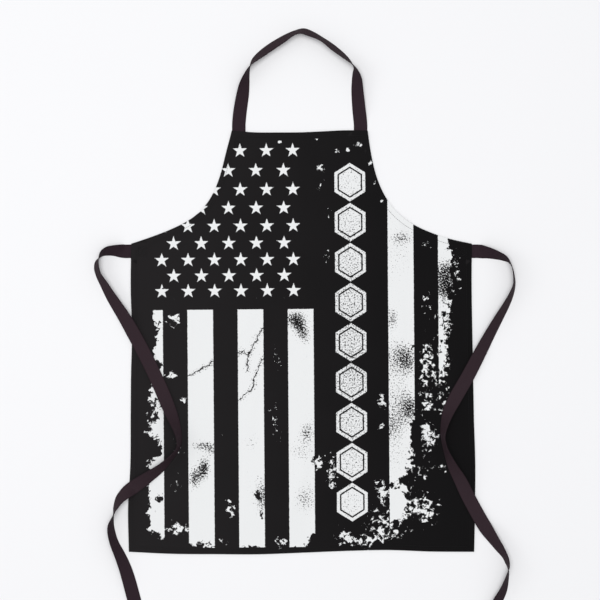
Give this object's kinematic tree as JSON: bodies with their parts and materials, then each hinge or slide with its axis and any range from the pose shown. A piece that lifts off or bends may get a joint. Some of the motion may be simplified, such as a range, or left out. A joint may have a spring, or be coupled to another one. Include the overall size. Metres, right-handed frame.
{
  "type": "bib apron",
  "caption": "Sleeveless bib apron in thin printed cloth, laid flat, with a sewn neck loop of flat tape and a long flat tie at each side of the waist.",
  "frame": {"origin": "on the back of the cloth, in the middle of the waist, level with the ties", "axes": "+X across the apron to the viewer's right, +Y from the bottom hem towards the neck, +Z out of the front of the cloth"},
  "size_m": [0.701, 1.053, 0.0261],
  "materials": {
    "cloth": "matt plain weave with a worn pale print on the front",
    "tape": "matt flat woven tape",
    "thread": "satin spun thread"
  },
  "bodies": {
    "apron": {"body_panel": "cloth", "top_hem": "cloth", "bottom_hem": "cloth", "left_side_hem": "cloth", "right_side_hem": "cloth", "left_armhole_hem": "cloth", "right_armhole_hem": "cloth", "top_hem_stitching": "thread", "bottom_hem_stitching": "thread", "left_side_stitching": "thread", "right_side_stitching": "thread", "left_armhole_stitching": "thread", "right_armhole_stitching": "thread", "neck_strap_left_end": "tape", "neck_strap_right_end": "tape", "left_tie_root": "tape", "right_tie_root": "tape", "neck_left_box_stitch": "thread", "neck_right_box_stitch": "thread", "left_tie_box_stitch": "thread", "right_tie_box_stitch": "thread"},
    "neck_loop": {"neck_strap": "tape"},
    "left_tie": {"left_tie": "tape", "left_tie_end_fold": "tape", "left_tie_end_stitch": "thread"},
    "right_tie": {"right_tie": "tape", "right_tie_end_fold": "tape", "right_tie_end_stitch": "thread"}
  },
  "joints": [
    {"name": "neck_loop_fold", "type": "hinge", "parent": "apron", "child": "neck_loop", "pos_m": [-0.003, 0.201, 0.002], "axis": [1, 0, 0], "range_deg": [0, 165]},
    {"name": "left_tie_lift", "type": "hinge", "parent": "apron", "child": "left_tie", "pos_m": [-0.2853, 0.01075, 0], "axis": [-1, 0, 0], "range_deg": [0, 135]},
    {"name": "right_tie_lift", "type": "hinge", "parent": "apron", "child": "right_tie", "pos_m": [0.2853, 0.01075, 0], "axis": [-1, 0, 0], "range_deg": [0, 135]}
  ]
}
